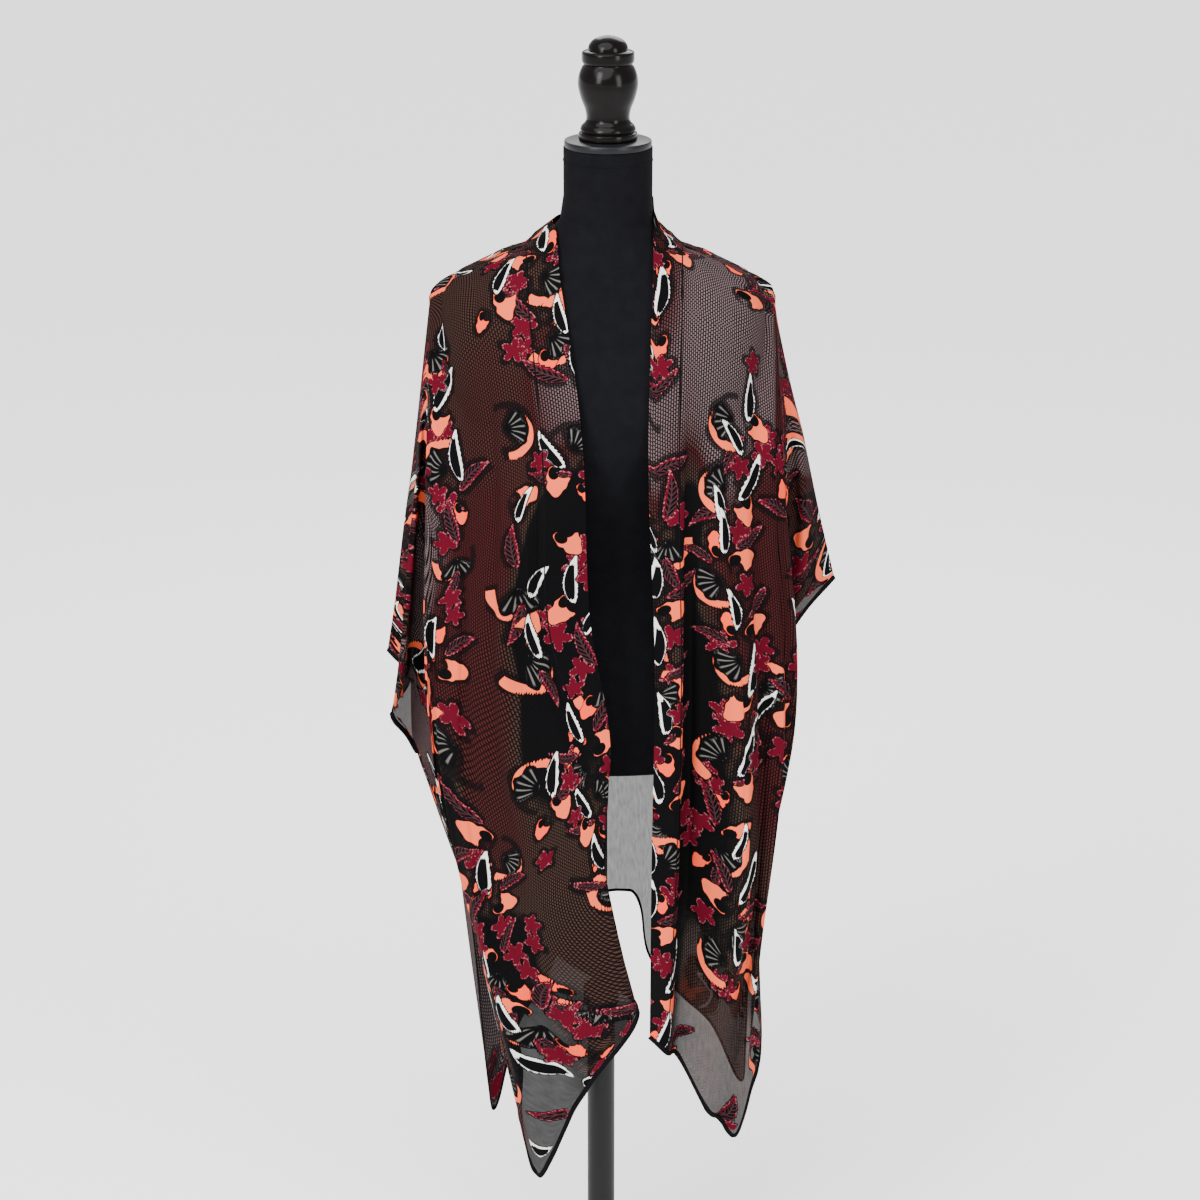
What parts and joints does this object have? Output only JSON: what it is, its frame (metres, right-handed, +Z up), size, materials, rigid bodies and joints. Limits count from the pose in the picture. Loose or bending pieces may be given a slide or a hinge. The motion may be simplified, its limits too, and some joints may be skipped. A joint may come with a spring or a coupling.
{
  "type": "open-front kimono on dress form stand",
  "caption": "Open-front sheer printed kimono wrap with wide cut-in sleeves, slit sides and pointed hems, worn by a limbless dress form on a pole stand.",
  "frame": {"origin": "on the floor, at the middle of the base plate's underside, under the pole", "axes": "+Z up, -Y out of the garment's open front, +X to the viewer's right"},
  "size_m": [0.5564, 0.3317, 1.685],
  "materials": {
    "printed_cloth": "sheer woven cloth with a dark all-over leaf and flower print",
    "printed_band": "folded band of the same printed cloth",
    "black_jersey": "fine matt stretch knit",
    "satin_cap": "satin black",
    "lacquered_wood": "turned, gloss black lacquer",
    "black_steel": "satin black powder coat",
    "black_plastic": "matt black"
  },
  "bodies": {
    "root": {"left_front": "printed_cloth", "left_front_band": "printed_band", "right_front": "printed_cloth", "right_front_band": "printed_band", "back": "printed_cloth", "neck_band": "printed_band", "form_torso": "black_jersey", "neck_cap": "satin_cap", "finial": "lacquered_wood", "base_plate": "black_steel", "lower_tube": "black_steel", "clamp_collar": "black_steel", "clamp_knob": "black_plastic", "upper_rod": "black_steel"}
  },
  "joints": []
}
